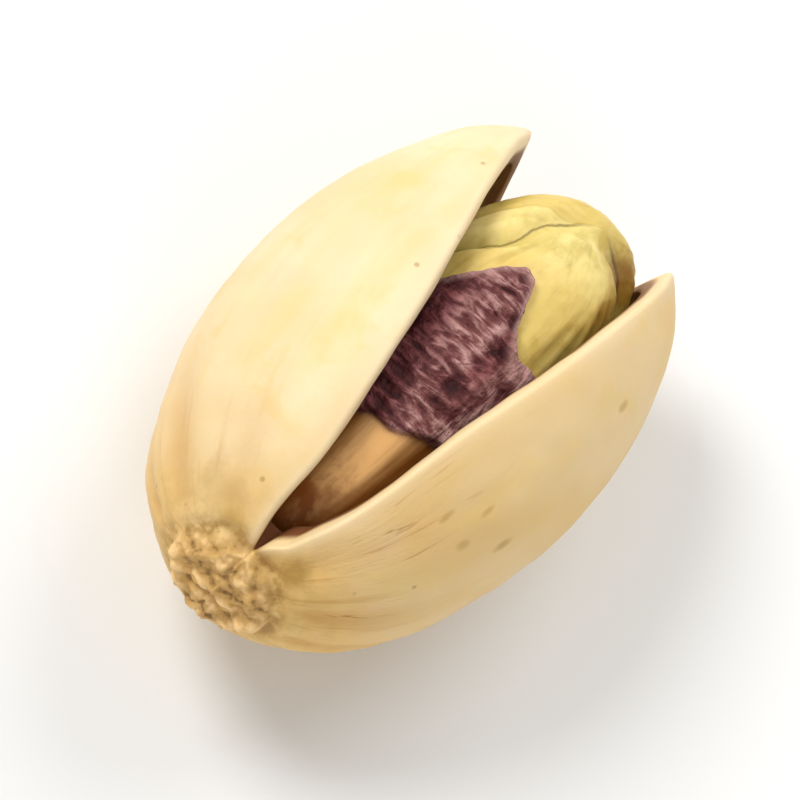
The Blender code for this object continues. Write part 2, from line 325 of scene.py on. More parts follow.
def stretched(u, v, along, round_length, seed=0.0):
    """A place for noise that is stretched as the fineness along and round the length say."""
    return Vector((along * u, round_length * math.cos(v), round_length * math.sin(v) + seed))


def direction(u, v, swing):
    """Unit direction of a point on the length axis's sphere, swung up by an angle about Y."""
    x = -math.cos(u)
    y = math.sin(u) * math.cos(v)
    z = math.sin(u) * math.sin(v)
    swung_x = x * math.cos(swing) + z * math.sin(swing)
    swung_z = z * math.cos(swing) - x * math.sin(swing)
    return Vector((swung_x, y, swung_z))


def shell_direction(u, v):
    """Direction of a shell point, with the scar's end swung up towards the open seam."""
    return direction(u, v, SCAR_TILT * (1 - smooth(u / SCAR_TILT_FADE)))


def shell_taper(along):
    """How the shell narrows from the base at -1 to the tip at 1."""
    return 1 - EGG * along - TIP_TAPER * smooth((along - TIP_TAPER_FROM) / (1 - TIP_TAPER_FROM))


def groove_depth(u, v):
    """Share of the full depth that the lengthwise grooves have at a point."""
    window = smooth((u - GROOVE_START) / GROOVE_ONSET) * (1 - smooth((u - GROOVE_FADE) / GROOVE_FADE))
    phase = GROOVES * v + GROOVE_WAVER * wave(v, *GROOVE_WAVER_WAVE) + GROOVE_TWIST * u
    uneven = 1 - GROOVE_UNEVEN * (1 - wave(v, *GROOVE_UNEVEN_WAVE))
    return window * uneven * (0.5 + 0.5 * math.cos(phase)) ** 2


def varied(way, fineness):
    """A share between about 0.1 and 1.3 that changes from place to place."""
    return LUMP_MEAN + LUMP_SPREAD * noise.noise(fineness * way)


def scar_inside(u):
    """1 on the stem scar and 0 off it."""
    return 1 - smooth((u - SCAR_EDGE + SCAR_SHOULDER) / SCAR_SHOULDER)


def ragged_scar(u, way):
    """The value of u from which the scar's edge is measured, so that the edge is irregular."""
    return u + SCAR_RAGGED * noise.noise(SCAR_RAGGED_FINENESS * way) * smooth(u / SCAR_EDGE)


def knobs(way):
    """Rounded knobs with narrow crevices between them, from about -0.6 in a crevice to 1."""
    broad = abs(noise.noise(SCAR_KNOB_FINENESS * way))
    small = abs(noise.noise(KNOB_FINER * SCAR_KNOB_FINENESS * way + KNOB_SHIFT))
    return KNOB_BROAD * broad + small - KNOB_LEVEL


def scar_relief(u, way):
    """Height of the stem scar's moat, ring, lumps and stub."""
    moat = bump(u - SCAR_EDGE, SCAR_LINE)
    ring = bump(u - SCAR_RING_AT, SCAR_LINE) * varied(way, SCAR_LUMP_FINENESS / 2)
    lumps = scar_inside(u) * noise.noise(SCAR_LUMP_FINENESS * way)
    stub = bump(u, SCAR_STUB_WIDTH) * varied(way, SCAR_LUMP_FINENESS)
    raised = SCAR_RAISE * scar_inside(u) + SCAR_RING * ring
    return raised - SCAR_MOAT * moat + SCAR_LUMPS * lumps + SCAR_STUB * stub


def shifted(u, v, side):
    """The turn at which the rim of a valve really runs, because the open seam wanders."""
    start, onset = RIM_ONSET[side]
    end, fade = RIM_FADE[side]
    along = smooth((u - start) / onset) * (1 - smooth((u - end) / fade))
    near_seam = 1 - smooth((TOP - v) / RIM_SPREAD)
    return v + RIM_SHIFT[side] * along * near_seam


def shell_outer(u, v, side, ragged=False):
    """A point on the outer face of the closed shell, and the way out of the wall there."""
    v = shifted(u, v, side)
    way = shell_direction(u, v)
    scar_u = ragged_scar(u, way) if ragged else u
    taper = shell_taper(way.x)
    x = SHELL_LENGTH / 2 * (1 + way.x) + BEAK * bump(math.pi - u, BEAK_WIDTH)
    y = SHELL_HALF_WIDTH[side] * taper * way.y * side
    point = Vector((x, y, SHELL_HALF_HEIGHT * taper * way.z))
    outward = Vector((way.x * RELIEF_ALONG, way.y * side, way.z)).normalized()
    keel = KEEL * bump(math.cos(v), KEEL_WIDTH) * math.sin(u)
    uneven = UNEVEN * noise.noise(point / UNEVEN_SIZE) * off_seams(v)
    relief = keel + uneven - GROOVE_DEPTH * groove_depth(u, v) + scar_relief(scar_u, way)
    return point + outward * relief, outward


def shell_inner(u, v, side):
    """A point on the inner face of the closed shell."""
    v = shifted(u, v, side)
    way = shell_direction(u, v)
    taper = shell_taper(way.x)
    wall = WALL_RIM + (WALL_MID - WALL_RIM) * abs(math.cos(v))
    half_length = (SHELL_LENGTH - WALL_BASE - WALL_TIP) / 2
    y = (SHELL_HALF_WIDTH[side] * taper - wall) * way.y * side
    z = (SHELL_HALF_HEIGHT * taper - wall) * way.z
    return Vector((WALL_BASE + half_length * (1 + way.x), y, z))


def reach_beyond_hinge(point):
    """Distance of a point past the line about which the valves open."""
    return (point - HINGE_TOP).dot(HINGE_NORMAL)


def opened(point, v, side):
    """Where a point of the closed shell goes when its valve bends open."""
    angle = side * OPEN_ANGLE[side]
    reach = reach_beyond_hinge(point)
    bend = max(BEND_REACH * abs(math.cos(v)), SHARPEST_BEND)
    if reach <= -bend:
        return point
    radius = 2 * bend / angle
    turned = angle * min((reach + bend) / (2 * bend), 1.0)
    beyond = max(reach - bend, 0.0)
    across = radius * (1 - math.cos(turned)) + beyond * math.sin(turned) + point.y * math.cos(turned)
    along = radius * math.sin(turned) - bend + beyond * math.cos(turned) - point.y * math.sin(turned)
    return point + HINGE_NORMAL * (along - reach) + Vector((0, across - point.y, 0))


def split_starts(stations, v):
    """The first station at which a seam stands open."""
    parted = []
    for u in stations:
        faces = (shell_outer(u, v, 1)[0], shell_inner(u, v, 1))
        parted.append(min(reach_beyond_hinge(face) for face in faces) > SPLIT_FROM)
    return parted.index(True)


def stations_from_base(count):
    """Values of u from the base to the tip, closer together near the base."""
    return [math.pi * (i / count) ** CROWDING for i in range(count + 1)]


@functools.cache
def rest_shift():
    """How far the pitched nut moves to lie on its flat spot with its box centred, as the solids do."""
    stations = stations_from_base(CAD_STATIONS)
    columns = [TOP - math.pi * j / CAD_COLUMNS for j in range(CAD_COLUMNS + 1)]
    splits = {0: split_starts(stations, columns[0]), CAD_COLUMNS: split_starts(stations, columns[-1])}
    pitch = Matrix.Rotation(PITCH, 3, "Y")
    places = []
    for side in (1, -1):
        for i, u in enumerate(stations):
            for j, v in enumerate(columns):
                joined = j in splits and i < splits[j]
                at_pole = i in (0, CAD_STATIONS)
                place = shell_outer(u, columns[0] if at_pole else v, side)[0]
                if at_pole or joined:
                    place.y = 0
                if not (i == 0 or joined):
                    place = opened(place, columns[0] if at_pole else v, side)
                places.append(pitch @ place)
    spans = [[place[axis] for place in places] for axis in (0, 1)]
    middle = [(min(span) + max(span)) / 2 for span in spans]
    return Vector((-middle[0], -middle[1], -min(place.z for place in places) - FLAT_DEPTH))


def crease_height(along):
    """How far the crease runs above the kernel's middle, from the base at -1 to the tip at 1."""
    arch = CREASE_HEIGHT * bump(along - CREASE_HEIGHT_AT, CREASE_HEIGHT_WIDTH)
    return arch - CREASE_DROP * smooth((along - CREASE_DROP_AT[0]) / CREASE_DROP_AT[1])


def kernel_point(u, v, offset=0.0, crease_share=1.0):
    """A point on the kernel, or a stand-off outside it, and its place above or below the crease."""
    tilt = KERNEL_TIP_TILT * smooth((u - math.pi + KERNEL_TILT_FADE) / KERNEL_TILT_FADE)
    way = direction(u, v, -tilt)
    fullness = BASE_FULLNESS + (TIP_FULLNESS - BASE_FULLNESS) * smooth(0.5 + 0.5 * way.x)
    from_axis = max(math.hypot(way.y, way.z), 0.001)
    girth = from_axis ** (fullness - 1)
    half_length = (KERNEL_END - KERNEL_START) / 2
    above_crease = math.sin(u) * math.sin(v - CREASE_ROLL) - crease_height(-math.cos(u))
    creased = smooth((u - CREASE_ONSET[0]) / CREASE_ONSET[1]) * smooth((math.pi - u) / CREASE_TIP_FADE)
    crease = bump(above_crease, CREASE_WIDTH) * creased
    swell = KERNEL_SWELL * noise.noise(SWELL_FINENESS * way)
    swell += CHEEK * bump((direction(u, v, 0) - direction(*CHEEK_AT, 0)).length, CHEEK_WIDTH)
    depth = offset + swell - CREASE_DEPTH * crease * crease_share
    beyond = smooth((way.x - LEAF_STEP_ONSET[0]) / LEAF_STEP_ONSET[1])
    upper = beyond * smooth(0.5 + 0.5 * above_crease / LEAF_STEP_WIDTH)
    x = KERNEL_START + half_length + (half_length + depth) * way.x - LEAF_STEP * upper
    lean = KERNEL_LEAN * ((x - KERNEL_START) / (KERNEL_END - KERNEL_START)) ** LEAN_CURVE
    y = (KERNEL_HALF_WIDTH + depth) * way.y * girth + lean
    z = (KERNEL_HALF_HEIGHT + depth) * way.z * girth + KERNEL_LIFT
    return Vector((x, y, z)), (above_crease, creased)


def skin_edge(v):
    """Value of u at which the skin is torn off."""
    lift = 0.5 + 0.5 * math.sin(v)
    edge = SKIN_EDGE_FOOT + (SKIN_EDGE_TOP - SKIN_EDGE_FOOT) * lift
    tongue = SKIN_TONGUE * bump(math.remainder(v - SKIN_TONGUE_AT, math.tau), SKIN_TONGUE_WIDTH)
    ragged = sum(share * wave(v, count, phase) for count, share, phase in TEARS)
    fray = noise.noise(FRAYS * around(v, FRAY_SEED))
    return edge + tongue + SKIN_RAGGED * ragged + FRAY * fray


def golden_end(v):
    """Value of u at which the smooth golden end of the skin gives way to the wrinkled part."""
    waver = noise.noise(GOLDEN_WAVERS * around(v, GOLDEN_WAVER_SEED))
    return GOLDEN_END - GOLDEN_SLANT * math.cos(v) + GOLDEN_WAVER * waver


def ridges(u, v, along, round_length, seed):
    """Ridges with narrow crests at 1 between hollows down to about -1, stretched as noise is."""
    from_crest = math.hypot(noise.noise(stretched(u, v, along, round_length, seed)), CREST_ROUNDING)
    return 1 - CREST_HEIGHT * (from_crest - CREST_ROUNDING)


class Points:
    """The vertices and faces of one mesh while it is built, with the values painted on its vertices."""

    def __init__(self, *names):
        self.places = []
        self.faces = []
        self.painted = {name: [] for name in names}

    def add(self, place, **painted):
        """Add a vertex and say what is painted on it."""
        self.places.append(place)
        for name, values in self.painted.items():
            values.append(painted.get(name, 0.0))
        return len(self.places) - 1

    def face(self, corners):
        """Add a face, leaving out corners that fall on one vertex."""
        distinct = list(dict.fromkeys(corners))
        if len(distinct) > 2:
            self.faces.append(distinct)

    def rings(self, rows):
        """Faces between successive rings of vertices, where a ring of one is a pole."""
        for first, second in zip(rows, rows[1:]):
            count = max(len(first), len(second))
            for j in range(count):
                corners = [first[j % len(first)], second[j % len(second)]]
                corners += [second[(j + 1) % len(second)], first[(j + 1) % len(first)]]
                self.face(corners)

    def piece(self, name, material):
        """Make the object, with its painted values as attributes."""
        mesh = bpy.data.meshes.new(name)
        mesh.from_pydata(self.places, [], self.faces)
        for attribute, values in self.painted.items():
            layer = mesh.attributes.new(attribute, "FLOAT", "POINT")
            layer.data.foreach_set("value", values)
        surface = bmesh.new()
        surface.from_mesh(mesh)
        bmesh.ops.recalc_face_normals(surface, faces=surface.faces)
        surface.to_mesh(mesh)
        surface.free()
        mesh.shade_smooth()
        mesh.materials.append(material)
        return put_in_scene(name, mesh)


def put_in_scene(name, data):
    """Make an object of a mesh, a light or a camera and link it."""
    item = bpy.data.objects.new(name, data)
    bpy.context.scene.collection.objects.link(item)
    return item


def rounding(distance, radius):
    """How far a rounded edge falls below its flat at a distance from the edge."""
    short = radius - min(distance, radius)
    return radius - math.sqrt(radius * radius - short * short)


def crowded_columns(count):
    """Values of v from the open seam to the belly, closer together near both seams."""
    steps = [j / count for j in range(count + 1)]
    return [TOP - math.pi * (s - RIM_CROWDING * math.sin(math.tau * s) / math.tau) for s in steps]


def rim_opening(point):
    """0 where the closed shell's seam holds together and 1 where the valves part."""
    return smooth(reach_beyond_hinge(point) / RIM_OPENS_OVER)


def shell_place(face, u, v, side, joined, rim_radius):
    """A point of the closed shell with its small relief and rounded rim, and what is painted there."""
    painted = {"u": u, "v": v, "side": side, "inner": float(face == "inner")}
    if face == "inner":
        point = shell_inner(u, v, side)
        radius = INNER_ROUNDING
        outward = Vector((0, -point.y, -point.z)).normalized()
        relief = 0.0
    else:
        point, outward = shell_outer(u, v, side, ragged=True)
        way = shell_direction(u, shifted(u, v, side))
        scar_u = ragged_scar(u, way)
        inside = scar_inside(scar_u)
        radius = rim_radius
        grain = SCAR_GRAIN * noise.noise(SCAR_GRAIN_FINENESS * way)
        dimples = DIMPLES * noise.noise(point / DIMPLE_SIZE) * off_seams(v)
        relief = dimples + inside * (SCAR_KNOBS * knobs(way) + grain)
        painted["scar"] = inside
        painted["height"] = knobs(way)
        painted["moat"] = bump(scar_u - SCAR_EDGE, SCAR_LINE)
        painted["groove"] = groove_depth(u, shifted(u, v, side))
    opening = rim_opening(point)
    from_seam = math.hypot(point.y, point.z) * (TOP - abs(v))
    if face == "outer":
        relief -= SEAM_LINE * bump(math.cos(v), SEAM_LINE_WIDTH) * (1 - opening) * (1 - inside)
    # The rim value marks the valves' paler edge along the open seam, which also carries a painted
    # highlight.
    painted["rim"] = opening * bump(from_seam, RIM_BAND)
    point += outward * (relief - opening * rounding(from_seam, radius))
    if joined or u in (0, math.pi):
        point.y = 0
    return point if joined or u == 0 else opened(point, v, side), painted


def shell_points(rim_radius):
    """The two valves, which share vertices where they are still joined."""
    stations = stations_from_base(SHELL_STATIONS)
    counts = {"outer": SHELL_COLUMNS, "inner": SHELL_INNER_COLUMNS}
    columns = {face: crowded_columns(count) for face, count in counts.items()}
    splits = {0: split_starts(stations, TOP), -1: split_starts(stations, -TOP)}
    points = Points("u", "v", "side", "inner", "rim", "scar", "height", "moat", "groove")
    found = {}

    def vertex(face, i, j, side):
        seam = {0: 0, counts[face]: -1}.get(j)
        joined = seam is not None and i < splits[seam]
        if i == 0:
            key = (face, 0)
        elif i == SHELL_STATIONS:
            key = (face, i, side)
        else:
            key = (face, i, j, 0 if joined else side)
        if key not in found:
            v = columns[face][j] if 0 < i < SHELL_STATIONS else TOP
            place, painted = shell_place(face, stations[i], v, side, joined, rim_radius)
            found[key] = points.add(place, **painted)
        return found[key]

    def rim_vertex(step, i, seam, side):
        if step in (0, RIM_STEPS):
            face = "outer" if step == 0 else "inner"
            return vertex(face, i, 0 if seam == 0 else counts[face], side)
        joined = i < splits[seam]
        if i == SHELL_STATIONS:
            key = ("rim", step, i, side)
        else:
            key = ("rim", step, i, seam, 0 if joined else side)
        if key not in found:
            outer = Vector(points.places[rim_vertex(0, i, seam, side)])
            inner = Vector(points.places[rim_vertex(RIM_STEPS, i, seam, side)])
            across = step / RIM_STEPS
            place = outer.lerp(inner, across)
            if not joined:
                bulge = RIM_WAVER * noise.noise(place / RIM_WAVER_SIZE) - RIM_BULGE
                place.y += side * bulge * math.sin(math.pi * across)
            u = stations[i]
            v = TOP if seam == 0 else -TOP
            # Across the cut face the outer corner takes the rim's colour and the inner corner the inner
            # face's. Where the seam hardly opens, near the V, all of it takes the inner face's dark
            # colour as painted shade.
            dark = 1 - rim_opening(shell_outer(u, v, side)[0]) * (1 - across)
            found[key] = points.add(place, u=u, v=v, side=side, inner=dark, rim=1 - dark)
        return found[key]

    for side in (1, -1):
        for i in range(SHELL_STATIONS):
            for face in ("outer", "inner"):
                for j in range(counts[face]):
                    corners = [(i, j), (i + 1, j), (i + 1, j + 1), (i, j + 1)]
                    points.face([vertex(face, *corner, side) for corner in corners])
            for seam, split in splits.items():
                if i >= split - 1:
                    for step in range(RIM_STEPS):
                        corners = [(step, i), (step, i + 1), (step + 1, i + 1), (step + 1, i)]
                        points.face([rim_vertex(*corner, seam, side) for corner in corners])
    return points


def kernel_points(wrinkle):
    """The kernel, a closed surface with a pole at each end."""
    columns = []
    for j in range(KERNEL_COLUMNS):
        step = math.tau * j / KERNEL_COLUMNS
        columns.append(CREASE_ROLL + step - CREASE_CROWDING * math.sin(2 * step))
    points = Points("u", "v", "above", "creased", "height")
    rows = []
    for i in range(KERNEL_STATIONS + 1):
        u = math.pi * (1 - (1 - i / KERNEL_STATIONS) ** CROWDING)
        ring = []
        for v in columns if 0 < i < KERNEL_STATIONS else [0.0]:
            way = direction(u, v, 0)
            folds = ridges(u, v, *KERNEL_WRINKLES) * math.sin(u)
            pitting = noise.noise(KERNEL_PITTING_FINENESS * way)
            height = folds + PITTING_PAINTED * pitting
            place, (above, creased) = kernel_point(u, v, wrinkle * folds + KERNEL_PITTING * pitting)
            ring.append(points.add(place, u=u, v=v, above=above, creased=creased, height=height))
        rows.append(ring)
    points.rings(rows)
    return points


def skin_relief(u, v, wrinkle):
    """Height of the skin's outer face above the kernel, and the crumple's own from about -1 to 1."""
    past_golden = u - golden_end(v)
    wrinkled = smooth(past_golden / GOLDEN_EDGE)
    middle = bump(math.remainder(v - TOP - SPLIT_MIDDLE, math.tau), SPLIT_MIDDLE_WIDTH)
    crumple = 0.0
    for along, round_length, seed, share, middle_share in CRUMPLES:
        crumple += ridges(u, v, along, round_length, seed) * (share + middle_share * middle)
    from_edge = skin_edge(v) - u
    uneven = CURL_MEAN + CURL_SPREAD * noise.noise(Vector((CURL_FINENESS * v, CURL_SEED, 0.0)))
    curl = EDGE_CURL * bump(from_edge, EDGE_CURL_WIDTH) * uneven
    thinned = (SKIN_THICKNESS - TORN_THICKNESS) * (1 - smooth(from_edge / TORN_THINNING))
    lip = GOLDEN_LIP * bump(past_golden - GOLDEN_EDGE, GOLDEN_LIP_WIDTH)
    streaks = GOLDEN_STREAKS * wrinkle * noise.noise(stretched(u, v, *GOLDEN_STREAK_FINENESS))
    rise = wrinkled * (wrinkle * crumple * math.sin(u) + lip) + (1 - wrinkled) * streaks
    sunk = GOLDEN_SINK * (1 - wrinkled) * smooth(u / GOLDEN_SINK_ONSET)
    return SKIN_GAP + SKIN_THICKNESS + rise - sunk - thinned + curl, crumple


def skin_points(wrinkle):
    """The skin, a cup round the kernel's base whose outer and inner faces meet along the torn edge."""
    columns = [math.tau * j / SKIN_COLUMNS for j in range(SKIN_COLUMNS)]
    points = Points("u", "v", "golden", "height", "torn")
    sheets = []
    for face, count in (("outer", SKIN_STATIONS), ("inner", SKIN_INNER_STATIONS)):
        rows = []
        for i in range(count + 1):
            ring = []
            for v in columns if i else [0.0]:
                u = skin_edge(v) * i / count
                lift, crumple = SKIN_GAP, 0.0
                if face == "outer":
                    lift, crumple = skin_relief(u, v, wrinkle)
                place = kernel_point(u, v, lift, SKIN_CREASE_SHARE)[0]
                golden = 1 - smooth(0.5 + (u - golden_end(v)) / GOLDEN_EDGE)
                torn = bump(skin_edge(v) - u, TORN_BAND)
                ring.append(points.add(place, u=u, v=v, golden=golden, height=crumple, torn=torn))
            rows.append(ring)
        points.rings(rows)
        sheets.append(rows)
    points.rings([sheets[0][-1], sheets[1][-1]])
    return points


def lay_down(piece):
    """Pitch a piece and lower it as the nut lies, on the shell's flat spot at z = 0."""
    piece.data.transform(Matrix.Rotation(PITCH, 4, "Y"))
    piece.data.transform(Matrix.Translation(rest_shift()))


def fit_to_solid(piece, node):
    """Flatten what would reach below the surface, and fit a piece's box to that of its solid."""
    vertices = piece.data.vertices
    for vertex in vertices:
        vertex.co.z = max(vertex.co.z, 0.0)
    solid_low, solid_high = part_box(node)
    for axis in (0, 1, 2):
        span = [vertex.co[axis] for vertex in vertices]
        low, high = min(span), max(span)
        share = (solid_high[axis] - solid_low[axis]) / (high - low)
        for vertex in vertices:
            vertex.co[axis] = solid_low[axis] + (vertex.co[axis] - low) * share


def hand_over(piece, node):
    """Let a piece stand for its solid, which is hidden, and ride with the root body."""
    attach(piece, "root")
    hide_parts(node)


class Value:
    """A number that changes over a surface. Sums with it add Math nodes."""

    def __init__(self, paint, socket):
        self.paint = paint
        self.socket = socket

    def __add__(self, other):
        return self.paint.math("ADD", self, other)

    def __sub__(self, other):
        return self.paint.math("SUBTRACT", self, other)

    def __rsub__(self, other):
        return self.paint.math("SUBTRACT", other, self)

    def __mul__(self, other):
        return self.paint.math("MULTIPLY", self, other)

    def __truediv__(self, other):
        return self.paint.math("DIVIDE", self, other)

    __radd__ = __add__
    __rmul__ = __mul__

    def between(self, low, high):
        """Ease from 0 at the low value to 1 at the high one, whichever of them is the greater."""
        sockets = {"Value": self, "From Min": low, "From Max": high}
        eased = self.paint.node("MapRange", {"interpolation_type": "SMOOTHSTEP"}, sockets)
        return Value(self.paint, eased.outputs[0])


class Paint:
    """One material and its nodes."""

    def __init__(self, name, **constants):
        self.material = bpy.data.materials.new(name)
        self.material.use_nodes = True
        self.tree = self.material.node_tree
        self.shader = self.tree.nodes["Principled BSDF"]
        for socket, value in constants.items():
            self.shader.inputs[socket.replace("_", " ")].default_value = value

    def node(self, kind, settings, sockets):
        """Add a node: first its settings, then the values or links of its sockets."""
        node = self.tree.nodes.new("ShaderNode" + kind)
        for setting, value in settings.items():
            setattr(node, setting, value)
        for socket, value in sockets.items():
            self.feed(node.inputs[socket], value)
        return node

    def feed(self, socket, value):
        """Link a socket to a value, or set it to a plain number or colour."""
        if isinstance(value, Value):
            self.tree.links.new(value.socket, socket)
        elif isinstance(value, bpy.types.NodeSocket):
            self.tree.links.new(value, socket)
        elif hasattr(value, "__len__") and socket.type == "RGBA" and len(value) == 3:
            socket.default_value = (*value, 1.0)
        else:
            socket.default_value = value

    def math(self, operation, *inputs):
        """A Math node on numbers and values."""
        node = self.node("Math", {"operation": operation}, dict(enumerate(inputs)))
        return Value(self, node.outputs[0])

    def vector_math(self, operation, *inputs):
        """A Vector Math node on vectors."""
        return self.node("VectorMath", {"operation": operation}, dict(enumerate(inputs)))

    def painted(self, *names):
        """Values painted on the mesh's vertices."""
        nodes = [self.node("Attribute", {"attribute_name": name}, {}) for name in names]
        return [Value(self, node.outputs["Fac"]) for node in nodes]

    def place(self):
        """Where a point is on the object, in metres."""
        return self.node("TexCoord", {}, {}).outputs["Object"]

    def vector(self, x, y, z):
        """Three values as a vector."""
        return self.node("CombineXYZ", {}, {"X": x, "Y": y, "Z": z}).outputs[0]

    def noise(self, vector, size=1.0, detail=3.0, roughness=0.6, distortion=0.0):
        """Smooth noise around 0.5 with features of about a size."""
        sockets = {"Vector": vector, "Scale": 1 / size, "Detail": detail}
        sockets.update({"Roughness": roughness, "Distortion": distortion})
        return Value(self, self.node("TexNoise", {}, sockets).outputs["Fac"])

    def spots(self, vector, size, share, radius):
        """Small round spots, in a share of the cells of a size."""
        cells = self.node("TexVoronoi", {}, {"Vector": vector, "Scale": 1 / size})
        chance = self.node("SeparateColor", {}, {"Color": cells.outputs["Color"]}).outputs[0]
        chosen = Value(self, chance).between(share + 0.02, share - 0.02)
        return Value(self, cells.outputs["Distance"]).between(radius, radius * 0.4) * chosen

    def smudge(self, place, centre, size, stretch):
        """A ragged patch round a point in millimetres, stretched along X, Y and Z."""
        away = self.vector_math("SUBTRACT", place, Vector(centre) * MM).outputs[0]
        shape = self.vector_math("DIVIDE", away, Vector(stretch) * MM).outputs[0]
        far = Value(self, self.vector_math("LENGTH", shape).outputs["Value"])
        waver = self.noise(place, SMUDGE_WAVER_SIZE, 2.0, 0.5)
        ragged = far / size + waver * SMUDGE_WAVER - SMUDGE_WAVER / 2
        return ragged.between(*SMUDGE_EDGE)

    def mix(self, factor, first, second, blend="MIX"):
        """From the first colour at 0 to the second at 1."""
        settings = {"data_type": "RGBA", "blend_type": blend, "clamp_factor": True}
        return self.node("Mix", settings, {"Factor": factor, 6: first, 7: second}).outputs[2]

    def tint(self, factor, first, second):
        """The first colour multiplied by the second, as far as the factor says."""
        return self.mix(factor, first, second, "MULTIPLY")

    def finish(self, colour, roughness, height=None, depth=0.0):
        """Connect colour, roughness and any relief of a given depth to the shader."""
        self.feed(self.shader.inputs["Base Color"], colour)
        self.feed(self.shader.inputs["Roughness"], roughness)
        if height is not None:
            bumped = self.node("Bump", {}, {"Height": height, "Strength": 1.0, "Distance": depth})
            self.feed(self.shader.inputs["Normal"], bumped.outputs[0])
        return self.material


def shell_material(settings):
    """Ivory bone with a dull sheen: mottled, streaked from the scar, specked and stained, with painted
    shade in the grooves, round the scar, in its pits, on the belly, the right valve and the inner face,
    and painted highlights on the rims and the scar's lumps.
    """
    paint = Paint("shell_bone", Subsurface_Weight=0.12, Subsurface_Scale=0.6 * MM)
    paint.shader.inputs["Subsurface Radius"].default_value = (1.0, 0.6, 0.3)
    place = paint.place()
    u, v, side, inner, rim = paint.painted("u", "v", "side", "inner", "rim")
    scar, height, moat, groove = paint.painted("scar", "height", "moat", "groove")

    broad = paint.noise(place, 5.5 * MM, 2.0, 0.5)
    patches = paint.noise(place, 2.2 * MM, distortion=0.4)
    fine = paint.noise(place, 0.35 * MM, roughness=0.65)
    cloud = paint.noise(place, 0.7 * MM)
    streaks = paint.noise(paint.vector(u * 1.1, v * 7.0, side * 5.0), detail=4.0, distortion=0.5)
    lines = paint.noise(paint.vector(u * 2.2, v * 17.0, side * 5.0), distortion=0.8)
    washes = paint.noise(paint.vector(u * 1.7, v * 3.4, side * 9.0), roughness=0.55, distortion=0.4)

    # Ochre towards the base is the shell's own. Towards the belly and on the right valve it is partly
    # painted shade, on the side away from the key light.
    low = v.between(0.6, -0.9)
    near_base = u.between(1.3, 0.35)
    warmth_and_shade = broad.between(0.35, 0.7) * 0.4 + low * 0.35 + near_base * 0.55 + side.between(1, -1) * 0.40
    colour = paint.mix(warmth_and_shade, settings.cream, settings.ochre)
    colour = paint.mix(washes.between(0.48, 0.70) * 0.40, colour, settings.blotch)
    colour = paint.mix(patches.between(0.52, 0.74) * 0.50, colour, settings.blotch)
    colour = paint.mix(patches.between(0.45, 0.25) * 0.25, colour, settings.blush)
    colour = paint.tint(streaks.between(0.56, 0.72) * (near_base * 0.7 + 0.08), colour, settings.streak_and_groove_shade)
    lined = u.between(0.35, 0.5) * u.between(1.9, 0.8) * side.between(0.6, -0.4)
    colour = paint.tint(lines.between(0.62, 0.74) * lined * 0.9, colour, settings.line)
    # Painted shade in the grooves, in the streaks' tint.
    colour = paint.tint(groove * 0.6, colour, settings.streak_and_groove_shade)
    specks = paint.spots(place, 1.9 * MM, 0.30, 0.075)
    colour = paint.mix(specks * 0.6, colour, settings.speck)
    for *where, strength in SHELL_MARKS:
        colour = paint.mix(paint.smudge(place, *where) * strength, colour, settings.stain)
    around_scar = u.between(0.85, 0.38) * cloud.between(0.30, 0.70)
    colour = paint.mix(around_scar * 0.35, colour, settings.stain)
    # The dark line round the scar: partly an olive stain, partly painted shade in its groove.
    colour = paint.tint(moat * cloud.between(0.35, 0.65) * 0.8, colour, settings.moat)
    # The scar's golden tan, with painted shade in its pits and painted highlights on its lumps,
    # following their height.
    pitted = height + (paint.noise(place, 0.20 * MM, 2.0, 0.5) - 0.5) * 1.2
    scar_colour = paint.mix(pitted.between(-0.75, -0.1), settings.scar_pit_shade, settings.scar_mid)
    scar_colour = paint.mix(pitted.between(-0.1, 0.9), scar_colour, settings.scar_lump_highlight)
    colour = paint.mix(scar, colour, scar_colour)
    # The valves' paler edge, with a painted highlight along its outer corner.
    colour = paint.mix(rim * 0.6, colour, settings.rim)
    # The inner face is painted darker than its own pale tan as painted shade, and darkest near the
    # scar, where the seam narrows into its V.
    inside = paint.mix(streaks.between(0.3, 0.7), settings.inside, settings.inside_dark)
    inside = paint.mix(u.between(1.15, 0.60) * 0.95, inside, settings.inside_deep_shade)
    colour = paint.mix(inner.between(0.12, 0.55), colour, inside)

    roughness = 0.48 + fine * 0.10 + scar * 0.15 + inner * 0.35
    relief = fine * 0.25 - lines * lined * 0.8 + patches * 0.5 + scar * pitted * 0.4
    return paint.finish(colour, roughness, relief, SHELL_BUMP)


